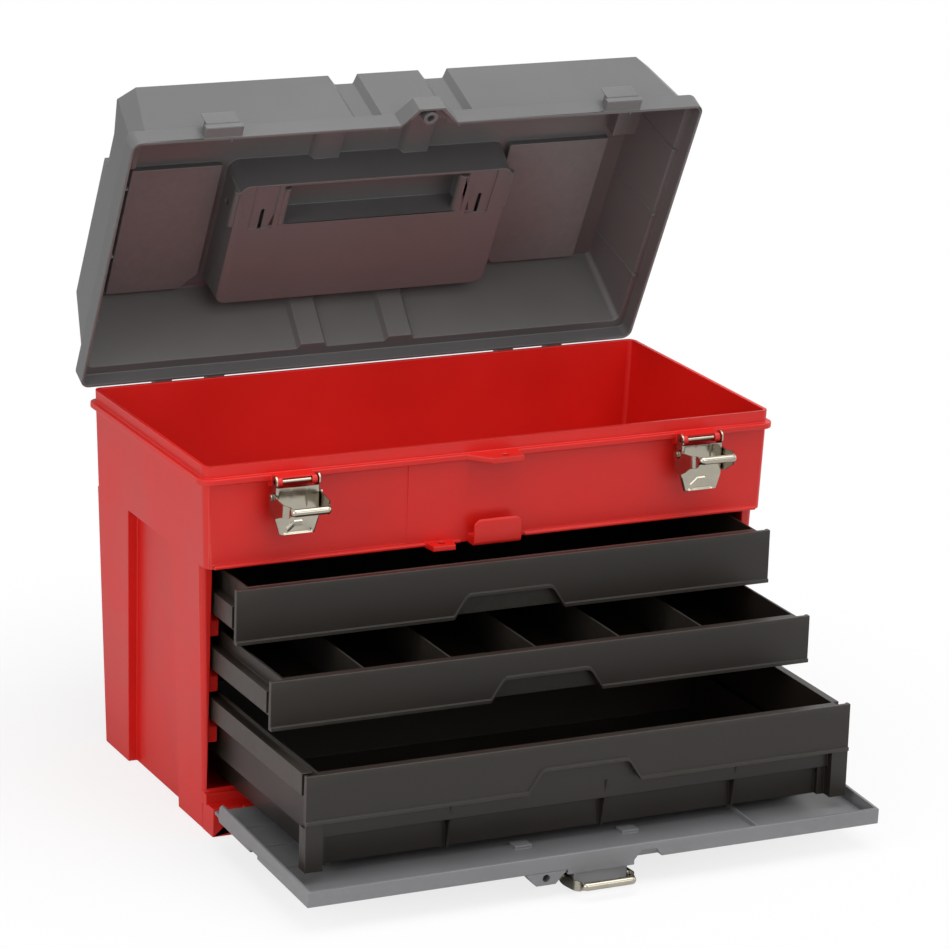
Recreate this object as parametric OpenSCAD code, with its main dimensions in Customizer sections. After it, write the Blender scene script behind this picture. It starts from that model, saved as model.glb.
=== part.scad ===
// Portable tool box: a moulded tray on three drawers, with a drop-down front
// panel, a hinged lid with a folding handle, and three draw latches.
// The drawers, the front panel and the lid are drawn open.
// +Z is up, -Y is the front, and the origin is on the ground below the middle.

/* [Body] */
// Width over the rim of the tray
body_w = 475; // [460:1:500]
// Depth over the rim of the tray
body_d = 232; // [224:1:260]
// Height of the rim above the ground
body_h = 292; // [286:1:330]
// Height of the underside of the tray
tray_z = 212; // [211:1:214]
// Wall thickness of the moulded body
wall = 3; // [2.4:0.1:3.6]
// Radius of the upright corners of the body
corner_r = 7; // [4:0.5:10]
// How much each side leans in between the rim and the ground
side_taper = 11; // [8:0.5:11.5]
// How much the back leans in between the rim and the ground
back_taper = 2.7; // [0:0.1:5]
// Height of the underside of the ledge below the rim of the tray
ledge_drop = 14; // [12:0.5:18]
// Height of the ledge
ledge_h = 4.6; // [3:0.1:5]
// How far the ledge stands out
ledge_out = 3.9; // [2:0.1:4.4]
// How far the drawer frame stands behind the front of the tray, at its top
frame_setback = 13.4; // [13:0.1:15]
// How much further back the frame stands at the ground
frame_lean = 4; // [0:0.1:6]
// Width of the drawer frame on each side of its opening
frame_side = 12.9; // [12:0.1:13.1]
// Height of the sill under the drawer opening
sill_z = 32.5; // [31:0.1:33]
// Height of the top of the floor plate
floor_z = 28; // [24:0.5:29]
// Height of the plinth in front of the frame
plinth_h = 22.5; // [20:0.5:23]
// Depth of the recessed panel in each side
side_recess = 8; // [4:0.5:9]
// Height of the top of the recessed panels
side_recess_z = 212; // [200:1:216]
// Depth of the shallow panels in the front of the tray
front_recess = 1; // [0.5:0.1:1.5]

/* [Drawers] */
// Gap between a drawer front and the frame on each side
front_clear = 0.4; // [0.4:0.1:4]
// Gap between the runner flanges and the sides of the opening
runner_clear = 2.6; // [2.6:0.1:4]
// How far the runner flanges stand out from a drawer's box
flange_w = 8; // [7:0.5:10]
// Gap between a drawer's box and the rails on each side
rail_clear = 2.5; // [2:0.25:3.5]
// Length of a drawer from front to back
drawer_len = 216; // [200:1:218]
// Wall thickness of the drawers
drawer_wall = 2; // [1.6:0.1:2.6]
// Thickness of a drawer front
front_t = 3; // [2.4:0.1:3.4]
// Height of the top drawer's front
top_front_h = 42.5; // [40:0.5:44]
// Height of the middle drawer's front
middle_front_h = 37.5; // [34:0.5:40]
// Height of the bottom drawer's front
bottom_front_h = 37.4; // [34:0.2:42]
// Gap above the top drawer's front
top_gap = 6.7; // [5:0.1:8]
// Gap between the fronts of the top and the middle drawer
middle_gap = 6.5; // [5:0.1:8]
// Gap between the fronts of the middle and the bottom drawer
bottom_gap = 11.8; // [9:0.1:13]
// Height of the bottom drawer's lower box above the sill
sill_gap = 0.7; // [0.5:0.1:2]
// Height of the runner flanges
flange_h = 17; // [12:0.5:18]
// Height of the runner flanges above the lower edge of the upper two fronts
flange_lift = 9.1; // [8:0.1:10]
// Height of the runner flanges above the lower edge of the bottom front
low_flange_lift = 18.1; // [17:0.1:19]
// Height of the rails in the body that carry the flanges
rail_h = 18; // [12:0.5:20]
// How far the top drawer stands ahead of the front of the tray
top_pull = 33.4; // [-8:0.1:170]
// How far the middle drawer stands ahead of the front of the tray
middle_pull = 100.7; // [-8:0.1:170]
// How far the bottom drawer stands ahead of the front of the tray
bottom_pull = 168.2; // [-8:0.1:170]
// Number of dividers in the middle drawer
divider_n = 5; // [1:1:8]
// Thickness of a divider
divider_t = 1.8; // [1.2:0.1:2.6]
// Width of the finger notch at the lower edge of a front
notch_w = 93; // [70:1:110]
// Width of the finger notch at its top
notch_top_w = 70; // [50:1:90]
// Height of the finger notch
notch_h = 16.5; // [12:0.5:19]

/* [Lid] */
// How far the flange of the lid stands out beyond the rim of the tray on each side
lid_over = 5.2; // [5:0.1:12.5]
// Height of the flange of the lid
lid_flange_h = 15; // [13:0.5:18]
// Height of the lid above its lower edge
lid_h = 73; // [70:1:80]
// How much each end of the lid leans in towards its top
lid_side_slope = 14.7; // [10:0.1:18]
// Wall thickness of the lid
lid_wall = 2.5; // [2:0.1:2.8]
// How far the top of the lid starts ahead of its back edge
lid_back_slope = 33; // [26:1:36]
// Angle to which the lid stands open
lid_open = 63.4; // [0:0.1:95]
// Width of the two grooves that cross the lid
groove_w = 24.6; // [20:0.2:28]
// Depth of the grooves
groove_depth = 5; // [3:0.5:6]
// Depth of the shallow panels beside the handle
pocket_depth = 5.5; // [3:0.5:7]
// Distance of the lid hinge behind the back of the body
lid_axis_out = 13.5; // [13:0.1:16]
// Distance between the two lid hinges
lid_hinge_pitch = 300; // [240:5:340]
// Diameter of the lid hinge pins
lid_pin_d = 5; // [4:0.1:6]

/* [Carrying handle] */
// Width of the recess for the carrying handle
recess_w = 230.5; // [222:0.5:233]
// Length of the recess for the carrying handle
recess_l = 114; // [110:1:116]
// Depth of the recess for the carrying handle
recess_depth = 28.5; // [26:0.5:31]
// How far the recess lies left of the middle
recess_left = 4.2; // [0:0.2:6]
// Distance from the handle's hinge to its grip
handle_reach = 70; // [60:1:72]
// Thickness of the grip
grip_h = 15; // [12:0.5:17]
// Diameter of the handle pins
handle_pin_d = 6; // [4:0.1:7]

/* [Front panel] */
// How far each end of the front panel lies inside the rim of the tray
door_inset = 2.1; // [1.5:0.1:4.5]
// Thickness of the front panel's sheet
door_sheet = 2.5; // [2:0.1:3]
// Depth of the front panel at its free edge
door_rim = 12.2; // [10:0.1:12.4]
// How much deeper the front panel is near its hinge
door_rim_gain = 2.6; // [0:0.1:3]
// Gap above the closed front panel
door_gap = 3; // [2:0.1:5]
// Height of the front panel's hinge
door_axis_z = 17.5; // [16:0.1:18]
// Distance of the front panel's hinge ahead of the front of the tray
door_axis_out = 8; // [7.5:0.1:10]
// Diameter of the front panel's hinge pins
door_pin_d = 4; // [3:0.1:4.4]
// Angle to which the front panel hangs open
door_open = 91.8; // [90:0.1:92.5]

/* [Latches] */
// Distance of each lid latch from the end of the tray
latch_inset = 68; // [58:1:88]
// Width of a lid latch lever
lid_lever_w = 35.5; // [32:0.5:38]
// Width of the front panel's latch lever
door_lever_w = 47; // [44:0.5:50]
// Length of a lever below its pin
lever_l = 40; // [36:0.5:44]
// Sheet thickness of the latches
sheet = 1.2; // [1:0.05:1.3]
// Height of a lever's pin ahead of the surface that carries it
latch_pin_out = 13; // [12.5:0.1:14]
// Diameter of the latch pins and rivets
latch_pin_d = 3; // [2.4:0.1:3.2]
// Depth of the lid bails' cheeks at their rivets
cheek_depth = 14.5; // [8:0.5:15]
// Distance from a bail's rivets to its bar
bail_l = 30.5; // [28:0.5:33]
// Diameter of a bail's bar
bar_d = 6; // [5:0.1:7]
// Angle of the left bail below level
left_bail_drop = 7; // [-20:1:20]
// Angle of the right bail below level
right_bail_drop = -6; // [-20:1:20]
// Angle of the front panel's bail from straight out of the panel's outside
panel_bail_turn = 95; // [80:1:100]

/* [Fits] */
// Gap between parts that move past each other
gap = 0.3; // [0.2:0.05:0.4]
// Gap around a pin in its bore
pin_fit = 0.06; // [0.03:0.01:0.1]

/* [Hidden] */
$fn = 64;
skin = 0.2;
red = [0.78, 0.11, 0.09];
grey = [0.45, 0.45, 0.46];
black = [0.13, 0.13, 0.13];
steel = [0.75, 0.74, 0.70];

front_y = -body_d / 2;
back_y = body_d / 2;
// Widths of the pieces, each from the one that it fits
opening_w = body_w - 2 * frame_side;
front_w = opening_w - 2 * front_clear;
runner_w = opening_w - 2 * runner_clear;
box_w = runner_w - 2 * flange_w;
rail_gap_w = box_w + 2 * rail_clear;
lid_w = body_w + 2 * lid_over;
lid_top_w = lid_w - 2 * lid_side_slope;
door_w = body_w - 2 * door_inset;
latch_pitch = body_w - 2 * latch_inset;
// Half width, front frame and back of the body at a height
function side_x(z) = body_w / 2 - side_taper * (body_h - z) / body_h;
function frame_y(z) = front_y + frame_setback + frame_lean * (tray_z - z) / tray_z;
function rear_y(z) = back_y - back_taper * (body_h - z) / body_h;

ledge_z = body_h - ledge_drop;
ledge_top = ledge_z + ledge_h;
opening_top = tray_z - wall;
opening_cut_l = 60;
cavity_front = frame_y(0) + wall - 1;

// Drawer fronts: height of each lower edge
top_z = tray_z - top_gap - top_front_h;
middle_z = top_z - middle_gap - middle_front_h;
bottom_z = middle_z - bottom_gap - bottom_front_h;
// Closed drawers stop with their fronts this far behind the front of the tray
closed_in = frame_setback - front_t - 1.9;
rail_tops = [top_z + flange_lift - gap, middle_z + flange_lift - gap,
    bottom_z + low_flange_lift - gap];
lower_box_z = sill_z + sill_gap - bottom_z;
lower_box_w = box_w - 18;
post_w = 14;
post_d = 12;
low_rib_x = [-106, 21, 131];

// Lid, drawn closed and then turned open about its hinge
lid_rim_z = ledge_top + 0.4;
lid_back = back_y + ledge_out + 0.1;
lid_front = front_y - ledge_out - 4.3;
lid_top = lid_rim_z + lid_h;
lid_d = lid_back - lid_front;
lid_mid = (lid_back + lid_front) / 2;
lid_axis = [back_y + lid_axis_out, ledge_top - 6];
knuckle_r = lid_pin_d / 2 + 3.3;
knuckle_w = 30;
side_knuckle_w = 14;
lid_pin_l = knuckle_w + 2 * gap + 2 * side_knuckle_w;
groove_x = [-42.5, 34.5];
end_notch_w = 19;
end_notch_depth = 11;
end_notch_back = 172;
end_ramp_back = 206;
end_rib_start = 60;
end_rib_steps = [0, 64.5, 131];
groove_floor_w = groove_w - 1.82 * groove_depth;
// The run across the top is this much wider and deeper than the others
groove_step = 0.1;

// Recess for the handle, and the handle's hinge in it
recess_back = lid_back - 41.5;
recess_front = recess_back - recess_l;
recess_floor = lid_top - recess_depth;
recess_draft = 5.5;
handle_axis = [recess_front + 25.5, lid_top - 13];
handle_w = recess_w - 7;
handle_arm_w = 26;
// Step in the recess, hollow from below, between the handle's arms
step_clear = 3.25;
step_w = handle_w - 2 * (handle_arm_w + step_clear + lid_wall);
step_l = 38.5;
step_top = lid_top - 5.5;
step_post_l = 35;
// Faces with a slit on the blocks beside the step
block_mid = step_w / 2 + 14.3;
block_face_w = 20.4;
slit_w = 3;
slit_l = 19;
slit_start = 22.5;

// Shallow panels in the lid's top: left, right, and the side of the cut corner
pocket_ends = [24.5, 23];
pocket_margins = [13.55, 10.45];
pocket_l = 119.7;
pockets = [
    [pocket_ends[0] - lid_top_w / 2, -recess_left - recess_w / 2 - pocket_margins[0], 1],
    [recess_w / 2 - recess_left + pocket_margins[1], lid_top_w / 2 - pocket_ends[1], -1]];
pocket_back = lid_back - 40.3;
pocket_front = pocket_back - pocket_l;
pocket_corner = 14;

// Front panel, drawn closed and then turned open about its hinge
door_axis = [front_y - door_axis_out, door_axis_z];
door_face = front_y + 0.6;
door_top = tray_z - door_gap;
door_low = plinth_h + 3.7;
door_wall_low = 42;
door_wall = 2.6;
door_pad = 4;
door_pad_w = 55;
// Finger notch in the free edge of the front panel, beside the latch
finger_notch_x = [27.4, 33, 45.5, 50];
finger_notch_d = 6.5;
finger_notch_h = 6;
door_latch_z = door_top - 4.5;
hinge_lug_w = 12;
hinge_lug_end = door_w / 2 - 39.4;
hinge_lug_x = [-hinge_lug_end, -66, 66, hinge_lug_end];
hinge_arm_w = 14;
door_arm_l = 12;
door_rib_z = [62, 100, 140];
door_boss_z = 157;
door_spine_x = 138;
door_spine_start = 60;
door_nick_z = 109;
padlock_x = -45;
padlock_y = front_y - 4;
padlock_r = 2.9;

// Latches
lid_latch_z = ledge_z + 1.3;
rivet_drop = 11.8;
rivet_in = 1;
ear_r = 5;
lug_r = 3.3;
lug_eye_w = 4.5;
lever_depth = 10.2;
door_cheek_depth = 6;
head_t = 1.2;
lid_bar_y = front_y - latch_pin_out + rivet_in - 0.5;
lid_bar_z = lid_latch_z - rivet_drop + bail_l;
upper_tab_x = 2;
upper_tab_y = front_y - 13;

// ---------------------------------------------------------------- shapes

// Rounded rectangle about the origin
module rounded_rect(w, d, r) {
    square([w - 2 * r, d], center = true);
    square([w, d - 2 * r], center = true);
    for (x = [-1, 1], y = [-1, 1])
        translate([x * (w / 2 - r), y * (d / 2 - r)])
            circle(r = r);
}

// Block with leaning sides: foot and head are [half width, front, back, height]
module drafted_block(foot, head, r)
    hull()
        for (s = [foot, head], side = [-1, 1], y = [s[1] + r, s[2] - r])
            translate([side * (s[0] - r), y, s[3] - (s == head ? skin : 0)])
                cylinder(r = r, h = skin, $fn = 32);

// Outline in the YZ plane, given as [y, z] points, swept along X about x
module along_x(x, w)
    translate([x - w / 2, 0, 0])
        rotate([90, 0, 90])
            linear_extrude(w)
                children();

// Outline in the XZ plane swept back along Y from y
module along_y(y, d)
    translate([0, y + d, 0])
        rotate([90, 0, 0])
            linear_extrude(d)
                children();

// Round bar or bore along X about x
module bar_x(x, w, y, z, r)
    translate([x - w / 2, y, z])
        rotate([0, 90, 0])
            cylinder(r = r, h = w);

module mirrored_x() {
    children();
    mirror([1, 0, 0])
        children();
}

// ------------------------------------------------------------------ body

side_panel_front = -46;
side_panel_back = 46;
side_panel_foot = 60;

// Outline of the recessed side panel, widened by a margin
module side_panel_outline(margin)
    polygon([
        [side_panel_front - margin, -1],
        [side_panel_foot + margin, -1],
        [side_panel_back + margin, side_recess_z + margin],
        [side_panel_front - margin, side_recess_z + margin]]);

// Outer face of the recessed side panel at a height
function panel_x(z) = side_x(side_recess_z) - side_recess
    - (side_taper * side_recess_z / body_h - 1) * (side_recess_z - z) / side_recess_z;

module side_panel_wall()
    intersection() {
        along_x(body_w / 2, body_w / 2)
            side_panel_outline(wall);
        along_y(-body_d, 2 * body_d)
            polygon([
                [runner_w / 2 + gap, side_recess_z + wall],
                [side_x(side_recess_z + wall) - 0.5, side_recess_z + wall],
                [side_x(0) - 0.5, 0],
                [panel_x(0) - wall, 0],
                [panel_x(0) - wall, floor_z - wall],
                [rail_gap_w / 2, floor_z - wall],
                [rail_gap_w / 2, rail_tops[2] - rail_h],
                [runner_w / 2 + gap, rail_tops[2] - rail_h]]);
    }

module side_panel_cut()
    intersection() {
        along_x(body_w / 2, body_w / 2)
            side_panel_outline(0);
        along_y(-body_d, 2 * body_d)
            polygon([
                [panel_x(side_recess_z), side_recess_z + 1],
                [body_w, side_recess_z + 1],
                [body_w, -1],
                [panel_x(-1), -1]]);
    }

// Rail that carries a drawer's flange, with a sloping lead at its front
module rail(top)
    along_x((rail_gap_w / 2 + side_x(top - rail_h) - 1) / 2,
            side_x(top - rail_h) - 1 - rail_gap_w / 2)
        polygon([
            [cavity_front - 1, top - rail_h],
            [cavity_front - 1, top - 6],
            [cavity_front + 7, top],
            [rear_y(0) - 1, top],
            [rear_y(0) - 1, top - rail_h]]);

module ledge()
    translate([0, 0, ledge_z])
        linear_extrude(ledge_h)
            rounded_rect(body_w + 2 * ledge_out, body_d + 2 * ledge_out,
                corner_r + ledge_out);

// Shelf with a padlock hole, on the ledge
module upper_tab()
    translate([0, 0, ledge_z])
        linear_extrude(ledge_h)
            polygon([
                [upper_tab_x - 27, front_y + 2],
                [upper_tab_x - 27, front_y - ledge_out],
                [upper_tab_x - 13, front_y - 20],
                [upper_tab_x + 13, front_y - 20],
                [upper_tab_x + 16, front_y - ledge_out],
                [upper_tab_x + 16, front_y + 2]]);

module lower_tab()
    translate([0, 0, tray_z - 1])
        linear_extrude(4)
            polygon([
                [padlock_x - 12, front_y + 2],
                [padlock_x - 10, front_y - 12],
                [padlock_x + 8, front_y - 13],
                [padlock_x + 12, front_y + 2]]);

// Hook on the tray that takes the front panel's bail
module panel_catch()
    difference() {
        along_x(0, 40)
            polygon([
                [front_y + 2, tray_z - 1],
                [front_y - 8, tray_z - 1],
                [front_y - 9.5, tray_z + 2],
                [front_y - 9.5, tray_z + 18],
                [front_y - 8.4, tray_z + 20],
                [front_y - 7.4, tray_z + 18],
                [front_y - 7.4, tray_z + 6],
                [front_y + 2, tray_z + 6]]);
        for (side = [-1, 1])
            translate([side * 20, front_y - 8, tray_z + 20])
                rotate([0, 45, 0])
                    cube([6, 8, 6], center = true);
    }

// Lip along the lower edge of the tray's front, open at the hook
module tray_lip()
    for (side = [-1, 1])
        translate([side > 0 ? 27 : -body_w / 2 + corner_r + 2, front_y - 1, tray_z])
            cube([body_w / 2 - corner_r - 29, 3, 2.4]);

// Lug between the ears of a lever: two eyes on the pin, and the web behind them
module lever_lug(w, y, z, root_y)
    difference() {
        union() {
            for (side = [-1, 1])
                along_x(side * (w / 2 - sheet - gap - lug_eye_w / 2), lug_eye_w) {
                    translate([y, z])
                        circle(r = lug_r);
                    polygon([
                        [y, z - lug_r],
                        [y, z + lug_r],
                        [root_y, z + lug_r],
                        [root_y, z - ear_r - 2]]);
                }
            along_x(0, w - 2 * sheet - 2 * gap)
                polygon([
                    [y - 0.5, z + latch_pin_d / 2 + 0.4],
                    [y - 0.5, z + lug_r],
                    [root_y, z + lug_r],
                    [root_y, z - ear_r - 2],
                    [y + latch_pin_d / 2 + 0.8, z - lug_r],
                    [y + latch_pin_d / 2 + 0.8, z + latch_pin_d / 2 + 0.4]]);
        }
        bar_x(0, w, y, z, latch_pin_d / 2 + 0.02);
    }

module body_knuckle()
    along_x(0, knuckle_w) {
        translate(lid_axis)
            circle(r = knuckle_r);
        polygon([
            [back_y - 1, ledge_top],
            [lid_axis[0], lid_axis[1] + knuckle_r],
            [lid_axis[0] + 1, lid_axis[1] - knuckle_r],
            [back_y - 1, ledge_z - 12]]);
    }

// Lug on the plinth that carries the front panel's hinge pin
module plinth_lug()
    along_x(0, hinge_lug_w) {
        translate(door_axis)
            circle(r = door_pin_d / 2 + 2.6);
        polygon([
            [front_y + 2, door_axis_z - 9],
            [door_axis[0], door_axis_z - door_pin_d / 2 - 2.6],
            [door_axis[0], door_axis_z + door_pin_d / 2 + 2.6],
            [front_y + 2, door_axis_z + door_pin_d / 2 + 2.6]]);
    }

// Ribs under the floor plate, level with the foot of the walls
module base_ribs() {
    translate([-wall / 2, frame_y(0), 0])
        cube([wall, rear_y(0) - frame_y(0) - 1, floor_z - 1]);
    translate([-side_x(0) + 12, -wall / 2, 0])
        cube([2 * side_x(0) - 24, wall, floor_z - 1]);
}

module body()
    color(red)
        difference() {
            union() {
                difference() {
                    union() {
                        drafted_block(
                            [side_x(tray_z), front_y + 0.8, rear_y(tray_z), tray_z],
                            [side_x(body_h), front_y, back_y, body_h], corner_r);
                        drafted_block(
                            [side_x(0), frame_y(0), rear_y(0), 0],
                            [side_x(tray_z), frame_y(tray_z), rear_y(tray_z), tray_z + skin],
                            corner_r - 2);
                        translate([-side_x(0), front_y, 0])
                            cube([2 * side_x(0), frame_setback + wall + 4, plinth_h]);
                        translate([-side_x(floor_z), front_y + 12, plinth_h - 1])
                            cube([2 * side_x(floor_z), wall + 6, sill_z - plinth_h - 1]);
                        ledge();
                        upper_tab();
                        for (side = [-1, 1])
                            translate([side * lid_hinge_pitch / 2, 0, 0])
                                body_knuckle();
                    }
                    // Tray
                    drafted_block(
                        [side_x(tray_z) - wall, front_y + 0.8 + wall,
                            rear_y(tray_z) - wall, tray_z + wall],
                        [side_x(body_h) - wall, front_y + wall,
                            back_y - wall, body_h + 1], corner_r - wall);
                    // Space behind the frame for the drawers
                    drafted_block(
                        [side_x(floor_z) - wall, cavity_front,
                            rear_y(floor_z) - wall, floor_z],
                        [side_x(opening_top) - wall, cavity_front,
                            rear_y(opening_top) - wall, opening_top], 2);
                    translate([-opening_w / 2, front_y - 10, sill_z])
                        cube([opening_w, opening_cut_l, opening_top - sill_z]);
                    // Hollow under the floor plate
                    translate([-side_x(0) + wall, front_y + wall, -1])
                        cube([2 * (side_x(0) - wall), frame_setback + frame_lean + 8,
                            plinth_h - wall + 1]);
                    translate([-side_x(0) + wall, frame_y(0) + wall, -1])
                        cube([2 * (side_x(0) - wall), rear_y(0) - frame_y(0) - 2 * wall,
                            floor_z - wall + 1]);
                    // Shallow panels in the front of the tray
                    for (p = [[5.5 - body_w / 2, -72], [-21.8, body_w / 2 - 3.5]])
                        translate([p[0], front_y - 2, tray_z + 4])
                            cube([p[1] - p[0], 2 + front_recess, ledge_z - tray_z - 5]);
                }
                mirrored_x() {
                    side_panel_wall();
                    for (top = rail_tops)
                        rail(top);
                }
                base_ribs();
                lower_tab();
                panel_catch();
                tray_lip();
                for (side = [-1, 1])
                    translate([side * latch_pitch / 2, 0, 0])
                        lever_lug(lid_lever_w, front_y - latch_pin_out, lid_latch_z,
                            front_y + 2);
                for (x = hinge_lug_x)
                    translate([x, 0, 0])
                        plinth_lug();
            }
            mirrored_x()
                side_panel_cut();
            for (side = [-1, 1])
                bar_x(side * lid_hinge_pitch / 2, knuckle_w + 2, lid_axis[0], lid_axis[1],
                    lid_pin_d / 2 + 0.02);
            for (x = hinge_lug_x)
                bar_x(x, hinge_lug_w + 2, door_axis[0], door_axis[1], door_pin_d / 2 + 0.02);
            translate([upper_tab_x, upper_tab_y, ledge_z - 1])
                cylinder(r = padlock_r, h = ledge_h + 2);
            translate([padlock_x, padlock_y, tray_z - 2])
                cylinder(r = padlock_r, h = 6);
        }

// ------------------------------------------------------------------- lid

// Turns what is drawn on the closed lid to where the lid stands
module on_open_lid()
    translate([0, lid_axis[0], lid_axis[1]])
        rotate([-lid_open, 0, 0])
            translate([0, -lid_axis[0], -lid_axis[1]])
                children();

// Crown of the lid above its flange, drawn in by an inset. Its front corners are cut off.
module lid_crown(inset)
    hull()
        for (s = [
                [lid_w / 2 - 5.4 - inset, lid_front + 3.2 + inset, lid_back - 7 - inset,
                    lid_rim_z + lid_flange_h - (inset > 0 ? 4 : 1), 10, 7],
                [lid_top_w / 2 - inset, lid_front + 5.2 + inset,
                    lid_back - lid_back_slope - inset * 0.6, lid_top - inset - skin, 13, 10]],
                side = [-1, 1])
            translate([0, 0, s[3]]) {
                translate([side * (s[0] - 5), s[2] - 5, 0])
                    cylinder(r = 5, h = skin, $fn = 32);
                for (c = [[s[0] - s[4] + inset * 0.6, s[1]], [s[0], s[1] + s[5] - inset * 0.6]])
                    translate([side * c[0] - (side > 0 ? skin : 0), c[1], 0])
                        cube(skin);
            }

// Run of a groove about x between two [y, z] points on the lid's surface
module groove_run(x, from, to, extra)
    translate([x, from[0], from[1]])
        rotate([atan2(from[0] - to[0], to[1] - from[1]), 0, 0])
            translate([0, 0, -groove_depth])
                linear_extrude(norm(to - from) + 2 * groove_depth)
                    polygon([
                        [-groove_w / 2 - 0.9 - extra, -1],
                        [groove_w / 2 + 0.9 + extra, -1],
                        [groove_floor_w / 2 + extra, groove_depth + extra],
                        [-groove_floor_w / 2 - extra, groove_depth + extra]]);

// Both grooves: up the front of the lid, across its top and down its back slope
module grooves(extra)
    for (x = groove_x) {
        groove_run(x, [lid_front + 3.2, lid_rim_z + lid_flange_h - 1],
            [lid_front + 5.2, lid_top], extra);
        groove_run(x, [lid_front + 5.2, lid_top], [lid_back - lid_back_slope, lid_top],
            extra + groove_step);
        groove_run(x, [lid_back - lid_back_slope, lid_top],
            [lid_back - 7, lid_rim_z + lid_flange_h - 1], extra);
    }

// Recess for the handle, or the box round it inside the lid, larger by a margin
module handle_recess(margin)
    translate([-recess_left, 0, 0])
        drafted_block(
            [recess_w / 2 + margin, recess_front - margin, recess_back + margin,
                recess_floor - margin],
            [recess_w / 2 + 1.2 + margin, recess_front - recess_draft - margin,
                recess_back + 1 + margin, lid_top + (margin > 0 ? -1 : 1)], 9);

// Shallow panels in the lid's top, larger by a margin, down to a height
module pocket_blocks(margin, low)
    for (p = pockets)
        translate([0, 0, low])
            linear_extrude(lid_top - low + (margin > 0 ? -1 : 1))
                polygon([
                    [p[0] - margin, pocket_front - margin],
                    [p[1] + margin, pocket_front - margin],
                    [p[1] + margin, pocket_back + margin - (p[2] > 0 ? pocket_corner : 0)],
                    [p[1] + margin - (p[2] > 0 ? pocket_corner : 0), pocket_back + margin],
                    [p[0] - margin + (p[2] < 0 ? pocket_corner : 0), pocket_back + margin],
                    [p[0] - margin, pocket_back + margin - (p[2] < 0 ? pocket_corner : 0)]]);

// Notch in the end of the lid's top, with a ramp at its front
module end_notch(margin)
    along_x(lid_top_w / 2 - end_notch_w - margin + 20, 40)
        polygon([
            [lid_back - end_notch_back + margin, lid_top + 1],
            [lid_back - end_notch_back + margin, lid_top - end_notch_depth - margin],
            [lid_back - end_ramp_back, lid_top - end_notch_depth - margin],
            [lid_front + 13 - margin, lid_top + 1]]);

// Catch on the lid's front: a shelf that a bail's bar pulls on, with a lip before it. The
// lip is narrower above, where it stands between the bail's cheeks.
module lid_catch(x) {
    lip = lid_bar_y - bar_d / 2 - 0.7;
    shelf_z = lid_bar_z - bar_d / 2 - 0.3;
    along_x(x, 31)
        polygon([
            [lid_front + 1, lid_rim_z + 0.5],
            [lip - 0.9, lid_rim_z + 0.5],
            [lip - 1.7, lid_rim_z + 1.3],
            [lip - 1.7, lid_rim_z + 4.8],
            [lip - 0.7, lid_rim_z + 5.2],
            [lip - 0.7, lid_rim_z + 6.4],
            [lid_front + 1, lid_rim_z + 6.4]]);
    along_x(x, 27)
        polygon([
            [lid_front + 1, lid_rim_z + 6],
            [lip - 0.5, lid_rim_z + 6],
            [lip - 1.6, lid_rim_z + 6.8],
            [lip - 1.2, lid_bar_z + 4.4],
            [lip, lid_bar_z + 4.8],
            [lip, shelf_z],
            [lid_front + 1, shelf_z]]);
}

// Bulge on the lid's flange that shelters the padlock boss
module lid_ear_outline(inset)
    polygon([
        [upper_tab_x - 27 + inset, lid_front + 3],
        [upper_tab_x - 12 + inset, lid_front - 15 + inset],
        [upper_tab_x + 10 - inset, lid_front - 15 + inset],
        [upper_tab_x + 27 - inset, lid_front + 3]]);

module lid_knuckles()
    for (side = [-1, 1], end = [-1, 1])
        translate([side * lid_hinge_pitch / 2
            + end * (knuckle_w + side_knuckle_w + 2 * gap) / 2, 0, 0])
            difference() {
                along_x(0, side_knuckle_w) {
                    translate(lid_axis)
                        circle(r = knuckle_r);
                    polygon([
                        [lid_back - 1, lid_rim_z + 12],
                        [lid_back + 3, lid_rim_z + 12],
                        [lid_axis[0] + knuckle_r - 0.6, lid_axis[1] + 2],
                        [lid_axis[0], lid_axis[1] - 2],
                        [lid_axis[0] - knuckle_r + 0.4, lid_axis[1] + 2],
                        [lid_back - 1, lid_rim_z + 1]]);
                }
                bar_x(0, side_knuckle_w + 2, lid_axis[0], lid_axis[1],
                    lid_pin_d / 2 + pin_fit);
            }

// Inner face of the lid's end wall at a height above the lid's lower edge
function end_wall_x(h) = lid_w / 2 - 5.4 - lid_wall
    - (lid_w / 2 - 5.4 - lid_top_w / 2) * (h - lid_flange_h) / (lid_h - lid_flange_h);

// Thin ribs along the inside of the lid's ends, each with a nib at its lower end
module end_ribs()
    for (step = end_rib_steps)
        along_y(lid_back - end_rib_start - step - 0.8, 1.6) {
            polygon([
                [end_wall_x(11) + 1, lid_rim_z + 11],
                [end_wall_x(11) - 2.4, lid_rim_z + 11],
                [end_wall_x(24) - 1.2, lid_rim_z + 24],
                [end_wall_x(lid_h - 3) - 1.2, lid_top - 2],
                [end_wall_x(lid_h - 3) + 1, lid_top - 2]]);
            translate([end_wall_x(11) - 0.7, lid_rim_z + 11.4])
                circle(r = 1.7);
        }

// Nibs inside the front of the flange
module flange_nibs()
    for (x = [-latch_pitch / 2 + 8, -33, 28, latch_pitch / 2 + 8])
        translate([x, lid_front + lid_wall - 1, lid_rim_z + 2])
            cube([1.6, 4.8, lid_flange_h - lid_wall - 1]);

// Rounded post at each end of the hollow step, or beside the recess when w is its width
module step_posts(w, r, low)
    for (side = [-1, 1])
        translate([-recess_left + side * w / 2, recess_front + step_l - step_post_l,
                recess_floor + low])
            rotate([-90, 0, 0])
                cylinder(r = r, h = step_post_l);

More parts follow.
